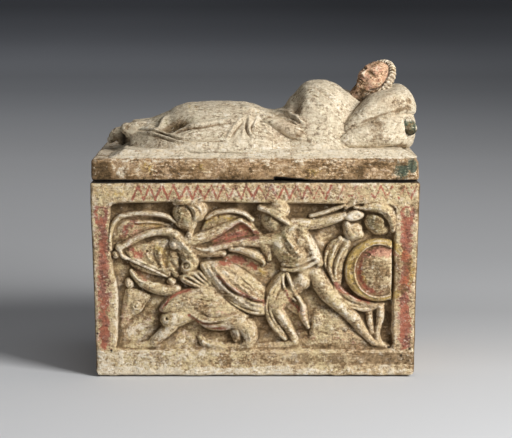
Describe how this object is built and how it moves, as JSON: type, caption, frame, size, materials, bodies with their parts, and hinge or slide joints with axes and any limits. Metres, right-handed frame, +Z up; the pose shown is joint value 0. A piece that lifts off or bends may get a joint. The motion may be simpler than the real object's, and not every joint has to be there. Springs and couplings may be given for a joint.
{
  "type": "cinerary urn",
  "caption": "Rectangular terracotta ash chest with a figured relief front and a lift-off lid carrying a draped figure lying on cushions.",
  "frame": {"origin": "middle of the chest's underside, on the surface it stands on", "axes": "+X along the length towards the lying figure's head, -Y out of the relief front, +Z up"},
  "size_m": [0.34, 0.201, 0.3274],
  "materials": {
    "slipped_clay": "matte, cream slip worn to tan clay, earth in the hollows",
    "bare_clay": "matte fired clay, smoothed by hand",
    "inner_clay": "matte fired clay, roughly wiped",
    "white_slip": "matte chalky slip",
    "red_ochre_paint": "matte worn paint over slip",
    "yellow_ochre_paint": "matte worn paint over slip",
    "flesh_paint": "matte worn paint over slip",
    "green_stained_clay": "matte, stained dark green"
  },
  "bodies": {
    "chest": {"front_wall": "slipped_clay", "back_wall": "bare_clay", "left_wall": "bare_clay", "right_wall": "bare_clay", "floor_slab": "inner_clay", "floor_seam": "inner_clay", "corner_seam_front_left": "inner_clay", "corner_seam_front_right": "inner_clay", "corner_seam_back_left": "inner_clay", "corner_seam_back_right": "inner_clay", "cornice_band": "slipped_clay", "plinth": "slipped_clay", "left_pilaster": "red_ochre_paint", "right_pilaster": "red_ochre_paint", "left_cloak": "red_ochre_paint", "raised_cloak": "yellow_ochre_paint", "billowing_drape": "slipped_clay", "rock_mound": "slipped_clay", "right_cloak": "slipped_clay", "right_lower_cloak": "red_ochre_paint", "shield": "yellow_ochre_paint", "left_tunic": "slipped_clay", "left_torso": "slipped_clay", "left_front_leg": "slipped_clay", "left_kneeling_leg": "slipped_clay", "left_low_arm": "slipped_clay", "tunic_flap": "slipped_clay", "sword": "white_slip", "left_sword_arm": "slipped_clay", "left_raised_arm": "slipped_clay", "left_head": "slipped_clay", "cloak_fall": "slipped_clay", "hero_leading_leg": "slipped_clay", "hero_trailing_leg": "slipped_clay", "strap_tassel": "slipped_clay", "hero_torso": "slipped_clay", "hero_waist_roll": "slipped_clay", "hero_near_arm": "slipped_clay", "left_lower_forearm": "slipped_clay", "hero_head": "slipped_clay", "hero_raised_arm": "slipped_clay", "beam": "slipped_clay", "hand_on_band": "slipped_clay", "right_arm": "slipped_clay", "right_head": "slipped_clay", "right_leg": "slipped_clay"},
    "lid": {"lid_slab": "bare_clay", "mattress": "slipped_clay", "draped_legs": "slipped_clay", "draped_torso": "slipped_clay", "near_forearm": "slipped_clay", "near_foot": "slipped_clay", "far_foot": "slipped_clay", "lower_cushion": "slipped_clay", "upper_cushion": "slipped_clay", "cushion_tassel": "green_stained_clay", "neck": "flesh_paint", "head": "flesh_paint", "beaded_headband": "white_slip"}
  },
  "joints": [
    {"name": "lid_lift", "type": "slide", "parent": "chest", "child": "lid", "axis": [0, 0, 1], "range_m": [0, 0.15]}
  ]
}
